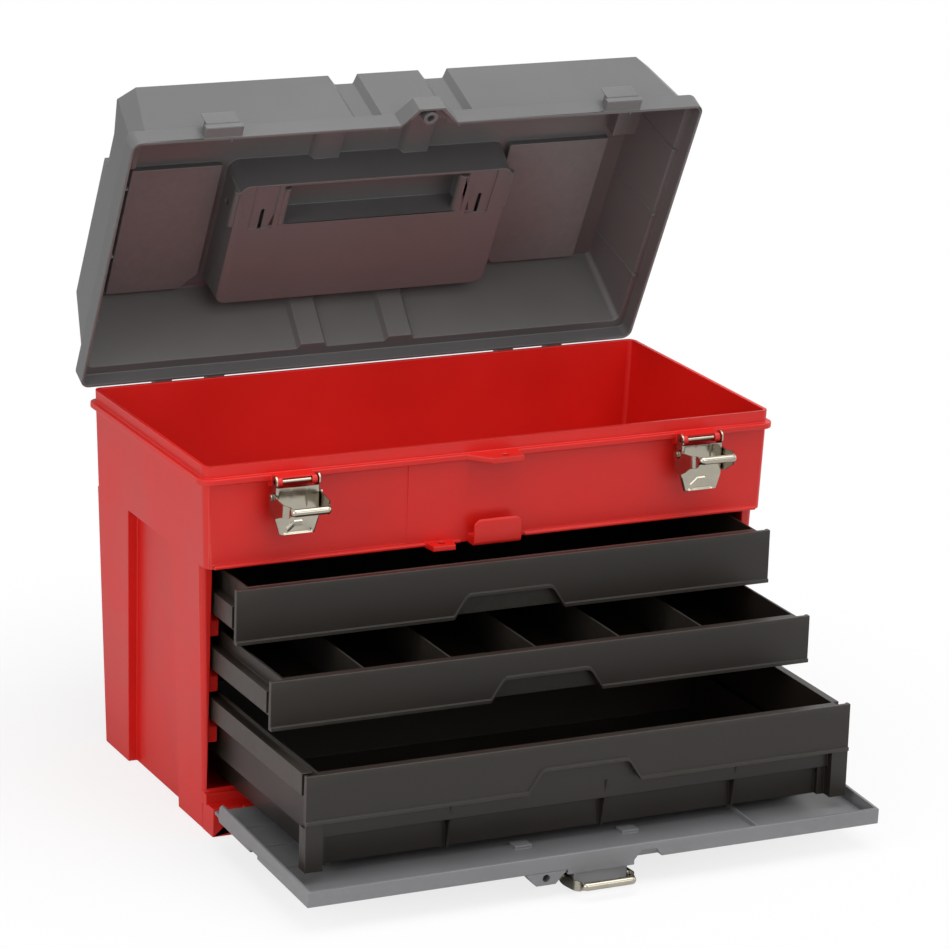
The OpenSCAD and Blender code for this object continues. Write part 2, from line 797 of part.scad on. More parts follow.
module lid()
    color(grey)
        on_open_lid()
            difference() {
                union() {
                    difference() {
                        union() {
                            translate([0, lid_mid, lid_rim_z])
                                linear_extrude(lid_flange_h)
                                    rounded_rect(lid_w, lid_d, 8);
                            lid_crown(0);
                        }
                        // Channel of the flange
                        translate([0, lid_mid, lid_rim_z - 1])
                            linear_extrude(lid_flange_h - lid_wall + 1)
                                rounded_rect(lid_w - 2 * lid_wall, lid_d - 2 * lid_wall,
                                    8 - lid_wall);
                        // Hollow of the crown, less the ridges under what is let in outside
                        difference() {
                            lid_crown(lid_wall);
                            grooves(lid_wall);
                            pocket_blocks(lid_wall, lid_top - pocket_depth - lid_wall);
                            mirrored_x()
                                end_notch(lid_wall);
                        }
                    }
                    handle_recess(lid_wall);
                    step_posts(recess_w + 2 * lid_wall, 3.5, 1.6);
                    for (side = [-1, 1])
                        lid_catch(side * latch_pitch / 2);
                    translate([0, 0, lid_rim_z])
                        linear_extrude(lid_flange_h)
                            lid_ear_outline(0);
                    lid_knuckles();
                    flange_nibs();
                    mirrored_x()
                        end_ribs();
                }
                // Grooves, shallow panels and notches in the outside
                intersection() {
                    grooves(0);
                    translate([-lid_w / 2, lid_front - 20, lid_rim_z + lid_flange_h])
                        cube([lid_w, lid_d + 40, lid_h]);
                }
                pocket_blocks(0, lid_top - pocket_depth);
                mirrored_x()
                    end_notch(0);
                // Recess for the handle, with a step in front that is hollow from below
                difference() {
                    handle_recess(0);
                    translate([-recess_left - step_w / 2 - lid_wall,
                            recess_front - 2 * recess_draft, recess_floor - 1])
                        cube([step_w + 2 * lid_wall, step_l + lid_wall + 2 * recess_draft,
                            step_top - recess_floor + 1]);
                }
                difference() {
                    translate([-recess_left - step_w / 2, recess_front,
                            recess_floor - lid_wall - 1])
                        cube([step_w, step_l, step_top - recess_floor + 1]);
                    step_posts(step_w - 5, 4.5, 2);
                }
                for (side = [-1, 1]) {
                    // Shallow face and slit of the blocks beside the step
                    translate([-recess_left + side * block_mid - block_face_w / 2,
                            recess_front - 1.5, recess_floor - lid_wall - 1])
                        cube([block_face_w, step_l + 4.5, 2]);
                    translate([-recess_left + side * block_mid - slit_w / 2,
                            recess_front + slit_start, recess_floor - lid_wall - 1])
                        cube([slit_w, slit_l, lid_wall + 2]);
                    bar_x(-recess_left + side * (recess_w / 2 + 2), 12, handle_axis[0],
                        handle_axis[1], handle_pin_d / 2 + 0.02);
                }
                // Hollow of the ear
                translate([0, 0, lid_rim_z - 1])
                    linear_extrude(lid_flange_h - lid_wall + 1)
                        difference() {
                            lid_ear_outline(lid_wall);
                            translate([upper_tab_x, upper_tab_y])
                                circle(r = 6);
                        }
                translate([upper_tab_x, upper_tab_y, lid_rim_z - 2])
                    cylinder(r = padlock_r, h = lid_flange_h + 4);
            }

module lid_hinge_pins()
    color(steel)
        for (side = [-1, 1])
            bar_x(side * lid_hinge_pitch / 2, lid_pin_l, lid_axis[0], lid_axis[1],
                lid_pin_d / 2);

module handle_pins()
    color(steel)
        on_open_lid()
            for (side = [-1, 1])
                bar_x(-recess_left + side * (recess_w / 2 - 9), 22, handle_axis[0],
                    handle_axis[1], handle_pin_d / 2);

// Carrying handle, folded back into its recess
module carry_handle()
    color(grey)
        on_open_lid()
            difference() {
                union() {
                    for (side = [-1, 1])
                        along_x(-recess_left + side * (handle_w - handle_arm_w) / 2,
                                handle_arm_w) {
                            translate(handle_axis)
                                circle(r = 8.5);
                            translate([handle_axis[0], handle_axis[1] - grip_h / 2])
                                square([handle_reach, grip_h]);
                        }
                    bar_x(-recess_left, handle_w, handle_axis[0] + handle_reach,
                        handle_axis[1], grip_h / 2);
                    along_x(-recess_left, handle_w)
                        translate([handle_axis[0] + handle_reach - 12,
                                handle_axis[1] - grip_h / 2])
                            square([12, grip_h]);
                }
                bar_x(-recess_left, recess_w, handle_axis[0], handle_axis[1],
                    handle_pin_d / 2 + pin_fit);
            }

// ----------------------------------------------------------- front panel

// Turns what is drawn on the closed front panel to where it hangs
module on_open_door()
    translate([0, door_axis[0], door_axis[1]])
        rotate([door_open, 0, 0])
            translate([0, -door_axis[0], -door_axis[1]])
                children();

// Depth of the side walls: the edge follows the lean of the drawer frame
module door_side_outline()
    polygon([
        [door_face, door_wall_low],
        [door_face, door_top],
        [door_face + door_rim, door_top],
        [door_face + door_rim + door_rim_gain, door_wall_low + 3],
        [door_face + door_rim + door_rim_gain - 3, door_wall_low],
        [door_face + 3, door_wall_low - 2]]);

module padlock_ear_outline(inset)
    polygon([
        [padlock_x - 17 + inset, door_face],
        [padlock_x - 8 + inset, door_face - 10 + inset],
        [padlock_x + 8 - inset, door_face - 10 + inset],
        [padlock_x + 17 - inset, door_face]]);

module door_arm()
    along_x(0, hinge_arm_w) {
        translate(door_axis)
            circle(r = door_pin_d / 2 + 2.6);
        polygon([
            [door_axis[0] - door_pin_d / 2 - 2.6, door_axis_z],
            [door_face, door_low + door_arm_l],
            [door_face + 2, door_low + door_arm_l],
            [door_face + 2, door_low],
            [door_axis[0] + door_pin_d / 2 + 2, door_axis_z]]);
    }

module front_panel()
    color(grey)
        on_open_door()
            difference() {
                union() {
                    translate([-door_w / 2 + 3, door_face, door_low])
                        cube([door_w - 6, door_sheet, door_top - door_low]);
                    for (side = [-1, 1])
                        along_x(side * (door_w - door_wall) / 2, door_wall)
                            door_side_outline();
                    for (side = [-1, 1])
                        along_x(side * (door_w / 2 - 4), 8)
                            translate([door_face, door_wall_low])
                                square([door_sheet, door_top - door_wall_low]);
                    translate([-door_w / 2, door_face, door_top - door_wall])
                        cube([door_w, door_rim, door_wall]);
                    // Ribs across the inside
                    translate([door_spine_x, door_face, door_low + door_spine_start])
                        cube([2, door_rim / 2, door_top - door_low - door_spine_start]);
                    for (z = door_rib_z)
                        translate([-door_w / 2 + 1, door_face, z])
                            cube([door_w - 2, door_sheet + 1, 3]);
                    for (x = [-44, 45])
                        translate([x - 7, door_face, door_boss_z])
                            cube([14, door_sheet + 2.5, 11]);
                    // Pad that carries the latch
                    along_x(0, door_pad_w)
                        polygon([
                            [door_face + 1, door_latch_z - 52],
                            [door_face - door_pad, door_latch_z - 44],
                            [door_face - door_pad, door_top],
                            [door_face + 1, door_top]]);
                    for (x = hinge_lug_x)
                        translate([x + (hinge_lug_w + hinge_arm_w) / 2 + gap, 0, 0])
                            door_arm();
                }
                for (x = hinge_lug_x)
                    bar_x(x + (hinge_lug_w + hinge_arm_w) / 2 + gap, hinge_arm_w + 2,
                        door_axis[0], door_axis[1], door_pin_d / 2 + pin_fit);
                translate([0, 0, door_top - finger_notch_h])
                    linear_extrude(finger_notch_h + 1)
                        polygon([
                            [finger_notch_x[0], door_face - 0.1],
                            [finger_notch_x[1], door_face + finger_notch_d],
                            [finger_notch_x[2], door_face + finger_notch_d],
                            [finger_notch_x[3], door_face - 0.1]]);
                // Nicks in the side walls
                for (side = [-1, 1])
                    translate([side * door_w / 2, door_face, door_nick_z])
                        cube([2 * door_wall + 0.4, 5, 13], center = true);
            }

// Ear with a padlock hole, hollow from below, at the free edge of the panel
module panel_padlock_ear()
    color(grey)
        on_open_door()
            difference() {
                translate([0, 0, door_top - 16])
                    linear_extrude(16)
                        padlock_ear_outline(0);
                translate([0, 0, door_top - 17])
                    linear_extrude(15)
                        difference() {
                            padlock_ear_outline(2.2);
                            translate([padlock_x, padlock_y])
                                circle(r = 5.8);
                        }
                translate([padlock_x, padlock_y, door_top - 20])
                    cylinder(r = padlock_r, h = 24);
            }

// Lug of the panel's latch, welded to the pad
module panel_latch_lug()
    color(grey)
        on_open_door()
            lever_lug(door_lever_w, front_y - latch_pin_out + 1, door_latch_z,
                door_face - door_pad);

module panel_hinge_pins()
    color(steel)
        for (x = hinge_lug_x)
            bar_x(x + (hinge_arm_w + gap) / 2, hinge_lug_w + hinge_arm_w + gap,
                door_axis[0], door_axis[1], door_pin_d / 2);

// --------------------------------------------------------------- drawers

// Lower edge of a drawer front: the outline of the panel with its notch
module front_outline(h)
    polygon([
        [-front_w / 2, 0],
        [-notch_w / 2, 0],
        [-notch_top_w / 2 - 2, notch_h - 2],
        [-notch_top_w / 2 + 1, notch_h],
        [notch_top_w / 2 - 1, notch_h],
        [notch_top_w / 2 + 2, notch_h - 2],
        [notch_w / 2, 0],
        [front_w / 2, 0],
        [front_w / 2, h],
        [-front_w / 2, h]]);

// Front of a drawer. The top edge that joins it to the box laps over the box's edge.
module drawer_front(h, lap) {
    along_y(0, front_t)
        front_outline(h);
    // Rolled lip along the lower edge and round the notch
    along_y(-1.4, 1.5)
        difference() {
            front_outline(h);
            translate([0, 3])
                front_outline(h);
        }
    // Returns at both ends, and the top edge
    for (side = [-1, 1])
        translate([side * (front_w / 2 - 1.25) - 1.25, 0, 0])
            cube([2.5, front_t + 1.5, h]);
    translate([-box_w / 2, 0, h - 2])
        cube([box_w, front_t + 3 + lap, 2]);
}

// Box with open top: back of the front at y, floor at low
module drawer_box(w, y, low, h)
    difference() {
        translate([-w / 2, y, low])
            cube([w, drawer_len - y, h - low]);
        translate([-w / 2 + drawer_wall, y + drawer_wall, low + drawer_wall])
            cube([w - 2 * drawer_wall, drawer_len - y - 2 * drawer_wall, h - low]);
    }

// Runner flanges along both sides of a drawer, let into its walls by an inset
module runner_flanges(lift, inset)
    mirrored_x() {
        translate([box_w / 2 - inset, 14, lift + flange_h - drawer_wall])
            cube([(runner_w - box_w) / 2 + inset, drawer_len - 14, drawer_wall]);
        translate([runner_w / 2 - drawer_wall, 14, lift])
            cube([drawer_wall, drawer_len - 14, flange_h]);
    }

module top_drawer()
    color(black)
        translate([0, front_y - top_pull, top_z])
            drawer_box(box_w, front_t + 3, 1.5, top_front_h);

// The top drawer's front and flanges are pieces of their own, welded to its box
module top_front()
    color(black)
        translate([0, front_y - top_pull, top_z])
            drawer_front(top_front_h, 0);

module top_runners()
    color(black)
        translate([0, front_y - top_pull, top_z])
            runner_flanges(flange_lift, 0);

module middle_drawer()
    color(black)
        translate([0, front_y - middle_pull, middle_z]) {
            drawer_front(middle_front_h, 1);
            drawer_box(box_w, front_t + 3, 1.5, middle_front_h);
            runner_flanges(flange_lift, 1);
        }

// Dividers that stand across the middle drawer, evenly spaced
module drawer_dividers()
    color(black)
        translate([0, front_y - middle_pull, middle_z])
            for (i = [1:divider_n])
                translate([-box_w / 2 + drawer_wall
                        + i * (box_w - 2 * drawer_wall) / (divider_n + 1) - divider_t / 2,
                        front_t + 3 + drawer_wall, 1.5 + drawer_wall])
                    cube([divider_t, drawer_len - front_t - 3 - 2 * drawer_wall,
                        middle_front_h - 9]);

// Deep bottom drawer: a narrower lower box hangs under the upper one
module bottom_drawer()
    color(black)
        translate([0, front_y - bottom_pull, bottom_z])
            difference() {
                union() {
                    drawer_front(bottom_front_h, 1);
                    drawer_box(box_w, front_t + 3, -13, bottom_front_h);
                    drawer_box(lower_box_w, post_d + 2, lower_box_z, 0);
                    runner_flanges(low_flange_lift, 1);
                    mirrored_x() {
                        translate([front_w / 2 - post_w, 0, lower_box_z])
                            cube([post_w, 2.5, -lower_box_z + 1]);
                        for (x = [front_w / 2 - post_w, front_w / 2 - 2.5])
                            translate([x, 0, lower_box_z])
                                cube([2.5, post_d, -lower_box_z - 3]);
                        translate([box_w / 2 - 10, post_d - 2.5, lower_box_z])
                            cube([10, 5, -lower_box_z - 3]);
                    }
                    for (x = low_rib_x)
                        along_x(x, 2)
                            polygon([
                                [front_t + 1, 1],
                                [post_d + 3, 1],
                                [post_d + 3, lower_box_z],
                                [post_d - 1, lower_box_z]]);
                }
                translate([-lower_box_w / 2 + drawer_wall, post_d + 2 + drawer_wall,
                        lower_box_z + drawer_wall])
                    cube([lower_box_w - 2 * drawer_wall,
                        drawer_len - post_d - 2 - 2 * drawer_wall, -lower_box_z]);
            }

// --------------------------------------------------------------- latches

// Lever with its pin at the origin, hanging down, its face towards -Y
module lever(w)
    color(steel)
        difference() {
            union() {
                along_y(-lever_depth / 2 + 0.5, sheet)
                    polygon([
                        [-w / 2, -3.7],
                        [w / 2, -3.7],
                        [w / 2, -lever_l * 0.72],
                        [w / 2 - 3.5, -lever_l],
                        [-w / 2 + 3.5, -lever_l],
                        [-w / 2, -lever_l * 0.72]]);
                for (side = [-1, 1])
                    along_x(side * (w - sheet) / 2, sheet) {
                        circle(r = ear_r);
                        polygon([
                            [-lever_depth / 2 + 0.5, 0],
                            [lever_depth / 2 + 0.2, -3],
                            [lever_depth / 2 + 0.2, -lever_l * 0.55],
                            [-lever_depth / 2 + 1.5, -lever_l * 0.72],
                            [-lever_depth / 2 + 0.5, -lever_l * 0.72]]);
                    }
            }
            bar_x(0, w + 2, 0, 0, latch_pin_d / 2 + pin_fit);
            bar_x(0, w + 2, rivet_in, -rivet_drop, latch_pin_d / 2 + 0.02);
        }

// Bail with its rivets at the origin, reaching forward to its bar. Its cheeks are as
// deep as the flank at the rivets.
module bail(w, flank)
    color(steel)
        difference() {
            union() {
                mirrored_x()
                    intersection() {
                        along_x(w / 2, w) {
                            circle(r = 4);
                            translate([-bail_l, -0.3])
                                circle(r = bar_d / 2);
                            polygon([
                                [0, 3.9],
                                [-8, 2.7],
                                [3 - bail_l, 2.4],
                                [-bail_l - 1, 2.4],
                                [-bail_l - bar_d / 2 + 0.5, -2],
                                [6 - bail_l, -min(6.9, flank - 1)],
                                [-4, -flank],
                                [0.5, -flank + 0.5],
                                [4, -min(9, flank - 2)],
                                [4, 0]]);
                        }
                        translate([0, 0, -flank - 2])
                            linear_extrude(flank + 8)
                                polygon([
                                    [w / 2 + gap, 6],
                                    [w / 2 + gap, 10.5 - bail_l],
                                    [w / 2 + gap - 3.2, 3.5 - bail_l],
                                    [w / 2 + gap - 3.2, -bail_l - 5],
                                    [w / 2 + gap - 3.2 + sheet, -bail_l - 5],
                                    [w / 2 + gap - 3.2 + sheet, 3.5 - bail_l],
                                    [w / 2 + gap + sheet, 10.5 - bail_l],
                                    [w / 2 + gap + sheet, 6]]);
                    }
                bar_x(0, w + 2 * gap - 6.4 + sheet, -bail_l, -0.3, bar_d / 2);
            }
            bar_x(0, 2 * w, 0, 0, latch_pin_d / 2 + pin_fit);
        }

// Headed rivets that join a bail to its lever
module rivets(w)
    color(steel)
        for (side = [-1, 1]) {
            bar_x(side * (w / 2 + gap / 2), 2 * sheet + 3 * gap + 1, 0, 0, latch_pin_d / 2);
            bar_x(side * (w / 2 + sheet + 2 * gap + head_t / 2), head_t, 0, 0,
                latch_pin_d / 2 + 1.4);
            bar_x(side * (w / 2 - sheet - 0.4), 0.8, 0, 0, latch_pin_d / 2 + 1);
        }

// Places a latch by its pin, with its bail turned down by an angle
module at_lid_latch(side)
    translate([side * latch_pitch / 2, front_y - latch_pin_out, lid_latch_z])
        children();

module at_door_latch()
    on_open_door()
        translate([0, front_y - latch_pin_out + 1, door_latch_z])
            children();

module at_rivets()
    translate([0, rivet_in, -rivet_drop])
        children();

module latch_pin(w)
    color(steel)
        bar_x(0, w, 0, 0, latch_pin_d / 2);

module left_lever() at_lid_latch(-1) lever(lid_lever_w);
module right_lever() at_lid_latch(1) lever(lid_lever_w);
module panel_lever() at_door_latch() lever(door_lever_w);
module left_latch_pin() at_lid_latch(-1) latch_pin(lid_lever_w);
module right_latch_pin() at_lid_latch(1) latch_pin(lid_lever_w);
module panel_latch_pin() at_door_latch() latch_pin(door_lever_w);
module left_rivets() at_lid_latch(-1) at_rivets() rivets(lid_lever_w);
module right_rivets() at_lid_latch(1) at_rivets() rivets(lid_lever_w);
module panel_rivets() at_door_latch() at_rivets() rivets(door_lever_w);
module left_bail()
    at_lid_latch(-1)
        at_rivets()
            rotate([left_bail_drop, 0, 0])
                bail(lid_lever_w, cheek_depth);
module right_bail()
    at_lid_latch(1)
        at_rivets()
            rotate([right_bail_drop, 0, 0])
                bail(lid_lever_w, cheek_depth);
module panel_bail()
    at_door_latch()
        at_rivets()
            rotate([-panel_bail_turn, 0, 0])
                bail(door_lever_w, door_cheek_depth);

body();
lid_hinge_pins();
lid();
carry_handle();
handle_pins();
front_panel();
panel_latch_lug();
panel_padlock_ear();
panel_hinge_pins();
top_drawer();
top_front();
top_runners();
middle_drawer();
drawer_dividers();
bottom_drawer();
left_lever();
left_bail();
left_latch_pin();
left_rivets();
right_lever();
right_bail();
right_latch_pin();
right_rivets();
panel_lever();
panel_bail();
panel_latch_pin();
panel_rivets();
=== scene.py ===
# Portable tool box with drawers: how its moulded and pressed pieces look.
# Metres, in the frame of the part: +Z up, -Y to the front, the ground at z = 0.
import math

import bmesh
import bpy
from mathutils import Matrix, Vector
from mathutils.bvhtree import BVHTree


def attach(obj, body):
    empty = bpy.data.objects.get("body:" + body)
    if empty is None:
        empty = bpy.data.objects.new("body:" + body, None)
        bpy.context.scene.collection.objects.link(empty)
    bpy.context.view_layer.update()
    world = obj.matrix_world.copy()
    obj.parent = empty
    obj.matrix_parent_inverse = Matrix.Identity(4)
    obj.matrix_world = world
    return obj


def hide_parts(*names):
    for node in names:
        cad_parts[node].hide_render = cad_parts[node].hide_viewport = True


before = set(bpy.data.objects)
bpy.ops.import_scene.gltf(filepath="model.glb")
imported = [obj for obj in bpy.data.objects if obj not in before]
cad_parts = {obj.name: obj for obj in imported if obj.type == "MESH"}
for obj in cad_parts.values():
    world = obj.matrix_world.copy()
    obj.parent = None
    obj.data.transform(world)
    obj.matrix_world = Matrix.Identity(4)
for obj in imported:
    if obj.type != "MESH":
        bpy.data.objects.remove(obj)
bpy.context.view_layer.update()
scene = bpy.context.scene


# ---- The view ----
# A long lens from the front left and a little above, turned slightly about its axis.
view_turn = math.radians(-25.99)
view_height = math.radians(16.49)
view_roll = math.radians(1.88)
view_place = (-1.3933, -2.9381, 1.1948)
lens = bpy.data.cameras.new("view")
lens.lens = 164.23
lens.sensor_width = 36.0
lens.clip_end = 30.0
camera = bpy.data.objects.new("view", lens)
scene.collection.objects.link(camera)
back = Vector((math.sin(view_turn) * math.cos(view_height),
               -math.cos(view_turn) * math.cos(view_height), math.sin(view_height)))
level_right = Vector((math.cos(view_turn), math.sin(view_turn), 0.0))
level_up = back.cross(level_right)
right = level_right * math.cos(view_roll) + level_up * math.sin(view_roll)
up = level_up * math.cos(view_roll) - level_right * math.sin(view_roll)
camera.matrix_world = Matrix((
    (right.x, up.x, back.x, view_place[0]),
    (right.y, up.y, back.y, view_place[1]),
    (right.z, up.z, back.z, view_place[2]),
    (0.0, 0.0, 0.0, 1.0)))
scene.camera = camera
scene.view_settings.view_transform = "Standard"


# ---- The studio ----
# A white room: large soft lamps from the left, the front and above, and a pale floor
# that keeps the shadow. The eye and shiny metal see the room as white.
def hex_colour(text):
    """sRGB hex colour to the linear values that a socket takes"""
    channels = [int(text[i:i + 2], 16) / 255 for i in (1, 3, 5)]
    return [c / 12.92 if c <= 0.04045 else ((c + 0.055) / 1.055) ** 2.4
            for c in channels] + [1.0]


def add_node(tree, kind, settings=None, **inputs):
    """Adds a shader node with its settings, and values or links for its sockets"""
    made = tree.nodes.new(kind)
    for key, value in (settings or {}).items():
        setattr(made, key, value)
    for key, value in inputs.items():
        socket = made.inputs[int(key[1:])] if key[0] == "i" and key[1:].isdigit() \
            else made.inputs[key.replace("_", " ")]
        if isinstance(value, bpy.types.NodeSocket):
            tree.links.new(value, socket)
        else:
            socket.default_value = value
    return made


def new_tree(material):
    material.use_nodes = True
    material.node_tree.nodes.clear()
    return material.node_tree


def soft_lamp(name, place, aim, size, watts, tint="#ffffff"):
    lamp = bpy.data.lights.new(name, "AREA")
    lamp.shape = "RECTANGLE"
    lamp.size, lamp.size_y = size
    lamp.energy = watts
    lamp.color = hex_colour(tint)[:3]
    made = bpy.data.objects.new(name, lamp)
    scene.collection.objects.link(made)
    made.location = place
    made.rotation_euler = (Vector(aim) - Vector(place)).to_track_quat("-Z", "Y").to_euler()
    return made


soft_lamp("lamp_left", (-2.3, -0.9, 1.1), (0, 0, 0.25), (1.6, 1.8), 20)
soft_lamp("lamp_front", (0.4, -2.6, 1.5), (0, 0, 0.25), (2.2, 1.2), 14)
soft_lamp("lamp_top", (0.2, -0.5, 2.4), (0, 0, 0.3), (2.4, 2.0), 40)
soft_lamp("lamp_right", (2.4, -0.4, 1.2), (0, 0, 0.25), (1.2, 1.6), 8)

room = bpy.data.worlds.new("white room")
scene.world = room
tree = new_tree(room)
ray = add_node(tree, "ShaderNodeLightPath")
seen = add_node(tree, "ShaderNodeMath", {"operation": "MAXIMUM"},
                i0=ray.outputs["Is Camera Ray"], i1=ray.outputs["Is Glossy Ray"])
seen = add_node(tree, "ShaderNodeMath", {"operation": "MAXIMUM"},
                i0=seen.outputs[0], i1=ray.outputs["Is Transmission Ray"])
level = add_node(tree, "ShaderNodeMapRange", i0=seen.outputs[0], i3=0.3, i4=1.0)
glow = add_node(tree, "ShaderNodeBackground", Color=hex_colour("#ffffff"),
                Strength=level.outputs[0])
add_node(tree, "ShaderNodeOutputWorld", Surface=glow.outputs[0])

# The paper's own white takes over from its shading with the distance from the box
pale = bpy.data.materials.new("white paper sweep")
tree = new_tree(pale)
ray = add_node(tree, "ShaderNodeLightPath")
place = add_node(tree, "ShaderNodeNewGeometry").outputs["Position"]
far = add_node(tree, "ShaderNodeVectorMath", {"operation": "LENGTH"}, i0=place)
fade = add_node(tree, "ShaderNodeMapRange", {"interpolation_type": "SMOOTHSTEP"},
                i0=far.outputs["Value"], i1=0.25, i2=0.6, i3=0.78, i4=1.0)
paper = add_node(tree, "ShaderNodeBsdfDiffuse", Color=hex_colour("#f4f4f4"))
glow = add_node(tree, "ShaderNodeEmission", Color=hex_colour("#ffffff"), Strength=1.0)
share = add_node(tree, "ShaderNodeMath", {"operation": "MULTIPLY"},
                 i0=ray.outputs["Is Camera Ray"], i1=fade.outputs[0])
mix = add_node(tree, "ShaderNodeMixShader", i0=share.outputs[0], i1=paper.outputs[0],
               i2=glow.outputs[0])
add_node(tree, "ShaderNodeOutputMaterial", Surface=mix.outputs[0])
# The paper lies just under the ground, so that it shares no face with the foot
floor_mesh = bpy.data.meshes.new("floor")
floor_mesh.from_pydata([(-9, -9, 0), (9, -9, 0), (9, 9, 0), (-9, 9, 0)], [], [(0, 1, 2, 3)])
floor = bpy.data.objects.new("floor", floor_mesh)
floor.location.z = -0.0006
floor_mesh.materials.append(pale)
scene.collection.objects.link(floor)


# ---- Red body ----
# One moulding of red polypropylene: the tray, the drawer frame and the foot. Its edges are
# rounded by about a millimetre, and the faces carry the fine grain of the mould.
def moulded_plastic(name, base, worn, grain=0.35, gloss=0.42, bump=0.05):
    """Injection-moulded polypropylene or polystyrene: satin, with a fine spark-eroded grain,
    broad flow marks that change the gloss, and paler, rubbed edges"""
    made = bpy.data.materials.new(name)
    tree = new_tree(made)
    place = add_node(tree, "ShaderNodeTexCoord").outputs["Object"]
    flow = add_node(tree, "ShaderNodeTexNoise", Vector=place, Scale=9.0, Detail=3.0,
                    Roughness=0.55)
    rub = add_node(tree, "ShaderNodeTexNoise", Vector=place, Scale=140.0, Detail=4.0,
                   Roughness=0.6)
    # Grain of the mould, 0.35 mm, drawn a little coarser than real so that it shows
    grit = add_node(tree, "ShaderNodeTexNoise", Vector=place, Scale=1000 / grain / 2,
                    Detail=2.0)
    edge = add_node(tree, "ShaderNodeNewGeometry").outputs["Pointiness"]
    edge = add_node(tree, "ShaderNodeMapRange", i0=edge, i1=0.54, i2=0.62)
    wear = add_node(tree, "ShaderNodeMath", {"operation": "MULTIPLY"},
                    i0=edge.outputs[0], i1=rub.outputs[0])
    shade = add_node(tree, "ShaderNodeMapRange", i0=flow.outputs[0], i1=0.35, i2=0.65,
                     i3=0.94, i4=1.05)
    colour = add_node(tree, "ShaderNodeHueSaturation", Color=hex_colour(base),
                      Value=shade.outputs[0])
    colour = add_node(tree, "ShaderNodeMix", {"data_type": "RGBA"}, i0=wear.outputs[0],
                      i6=colour.outputs[0], i7=hex_colour(worn))
    rough = add_node(tree, "ShaderNodeMapRange", i0=flow.outputs[0], i1=0.3, i2=0.7,
                     i3=gloss - 0.04, i4=gloss + 0.05)
    relief = add_node(tree, "ShaderNodeBump", Strength=bump, Distance=0.0002,
                      Height=grit.outputs[0])
    skin = add_node(tree, "ShaderNodeBsdfPrincipled", Base_Color=colour.outputs[2],
                    Roughness=rough.outputs[0], Normal=relief.outputs[0], IOR=1.49)
    add_node(tree, "ShaderNodeOutputMaterial", Surface=skin.outputs[0])
    return made


def soft_edged(node, name, body, material, radius, steps=2, angle=28):
    """The moulding of a node with its edges rounded, in place of the sharp solid. Where
    faces are narrow the radius is smaller, so that no two rounded edges run together."""
    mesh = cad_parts[node].data.copy()
    mesh.materials.clear()
    work = bmesh.new()
    work.from_mesh(mesh)
    bmesh.ops.remove_doubles(work, verts=work.verts, dist=1.5e-4)
    bmesh.ops.dissolve_degenerate(work, dist=1e-5, edges=work.edges)
    bmesh.ops.dissolve_limit(work, angle_limit=math.radians(0.8), verts=work.verts,
                             edges=work.edges)
    solid = BVHTree.FromBMesh(work)
    share = work.edges.layers.float.new("bevel_weight_edge")
    limit = math.radians(angle)
    sharp = [e for e in work.edges if len(e.link_faces) == 2
             and e.calc_face_angle(0.0) > limit]
    for edge in sharp:
        start = edge.verts[0].co
        along = (edge.verts[1].co - start).normalized()
        room = 1.0
        for face in edge.link_faces:
            reach = max(((v.co - start) - along * (v.co - start).dot(along)).length
                        for v in face.verts)
            room = min(room, 0.42 * reach / radius)
            for vert in edge.verts:
                for other in face.edges:
                    if other is not edge and vert in other.verts:
                        turn = (other.other_vert(vert).co - vert.co).normalized()
                        if abs(turn.dot(along)) < 0.93:
                            room = min(room, 0.45 * other.calc_length() / radius)
        edge[share] = room if room > 0.08 else 0.0
        edge.smooth = room > 0.08
    made = bpy.data.objects.new(name, mesh)
    scene.collection.objects.link(made)
    mesh.materials.append(material)
    bevel = made.modifiers.new("rounded edges", "BEVEL")
    bevel.width = radius
    bevel.segments = steps
    bevel.limit_method = "WEIGHT"
    bevel.use_clamp_overlap = False
    bevel.miter_outer = "MITER_ARC"
    # A corner whose rounding strays from the solid goes back to sharp
    for attempt in range(4):
        work.to_mesh(mesh)
        drawn = made.evaluated_get(bpy.context.evaluated_depsgraph_get()).to_mesh()
        astray = [v.co.copy() for v in drawn.vertices
                  if (solid.find_nearest(v.co)[3] or 0.0) > 0.6 * radius]
        made.to_mesh_clear()
        if not astray:
            break
        for place in astray:
            near = min(work.verts, key=lambda v: (v.co - place).length_squared)
            for edge in near.link_edges:
                edge[share] = 0.0
                edge.smooth = edge.calc_face_angle(0.0) <= limit
    work.free()
    for face in mesh.polygons:
        face.use_smooth = True
    level = made.modifiers.new("flat faces", "WEIGHTED_NORMAL")
    level.keep_sharp = True
    level.weight = 80
    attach(made, body)
    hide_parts(node)
    return made


red_plastic = moulded_plastic("red moulded polypropylene", "#d1150b", "#df4638")
soft_edged("body", "red_moulding", "body", red_plastic, 0.0007)

# ---- Lid ----
# Grey polypropylene, moulded in one piece: two grooves across it, a recess for the handle
# and a shallow panel on each side. The handle is a separate moulding on two steel pins, with
# rounder edges where the hand takes it.
grey_plastic = moulded_plastic("grey moulded polypropylene", "#646363", "#8c8b8a")
soft_edged("lid", "lid_moulding", "lid", grey_plastic, 0.0007)
soft_edged("carry_handle", "handle_moulding", "handle", grey_plastic, 0.001)

